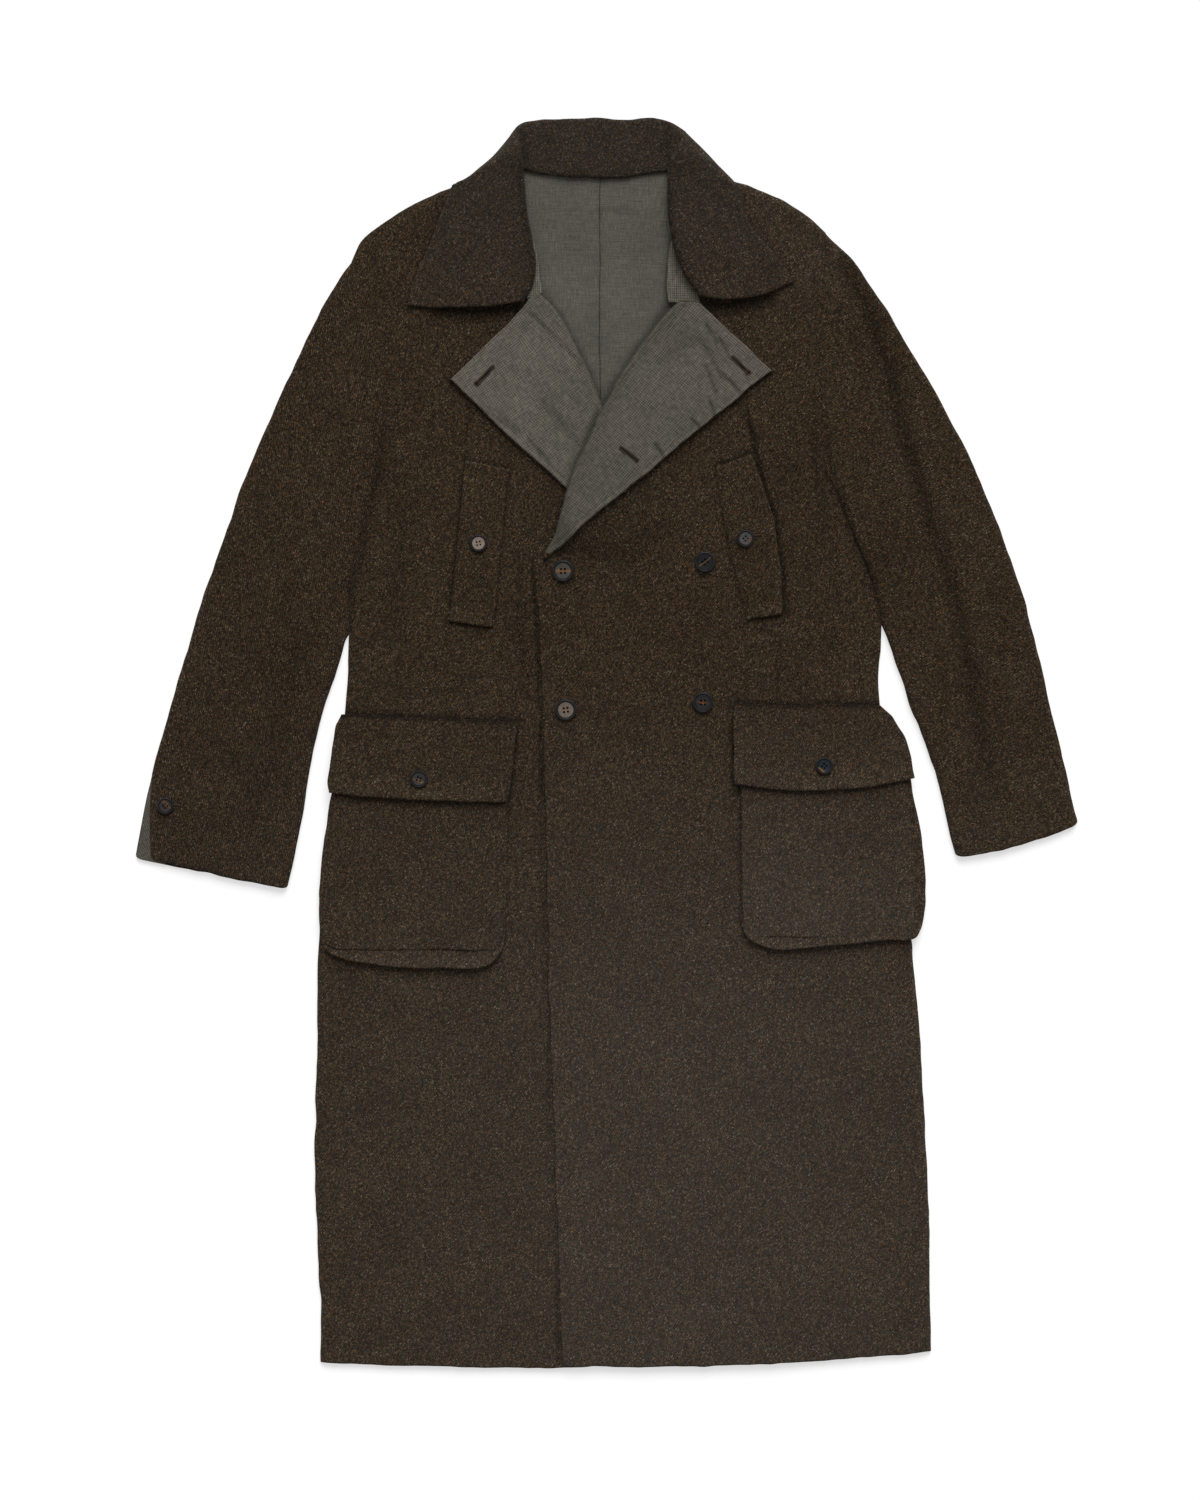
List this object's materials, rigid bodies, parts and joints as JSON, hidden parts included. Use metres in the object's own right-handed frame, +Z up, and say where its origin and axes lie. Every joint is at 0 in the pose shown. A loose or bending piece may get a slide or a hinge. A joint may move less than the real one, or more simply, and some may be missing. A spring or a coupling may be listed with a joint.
{
  "type": "long double-breasted overcoat",
  "caption": "Long double-breasted wool tweed overcoat laid flat, with turned-back lapels, wide collar, chest welts and flapped bellows pockets; rigid cloth panels.",
  "frame": {"origin": "on the resting surface below the middle of the coat's box", "axes": "+X to the coat's own left sleeve (right in the picture), +Y up the coat from hem to collar, +Z up off the surface it lies on"},
  "size_m": [0.942, 1.2477, 0.0234],
  "materials": {
    "tweed": "dark brown melange wool tweed, matt with a short nap",
    "facing": "grey fine pin-check cotton",
    "lining": "grey fine striped cotton",
    "horn": "dark brown polished horn"
  },
  "bodies": {
    "root": {"back": "tweed", "back_lining_right": "lining", "back_lining_left": "lining", "front_right": "tweed", "front_left": "tweed", "facing_right": "facing", "facing_left": "facing", "collar": "tweed", "sleeve_upper_right": "tweed", "sleeve_upper_left": "tweed", "sleeve_under_right": "tweed", "sleeve_under_left": "tweed", "cuff_facing_right": "facing", "chest_welt_right": "tweed", "chest_welt_left": "tweed", "pocket_front_right": "tweed", "pocket_front_left": "tweed", "pocket_gusset_right": "tweed", "pocket_gusset_left": "tweed", "pocket_flap_right": "tweed", "pocket_flap_left": "tweed", "button_front_right_upper": "horn", "button_front_right_lower": "horn", "button_front_left_upper": "horn", "button_front_left_lower": "horn", "button_chest_right": "horn", "button_chest_left": "horn", "button_flap_right": "horn", "button_flap_left": "horn", "button_cuff_right": "horn"}
  },
  "joints": []
}
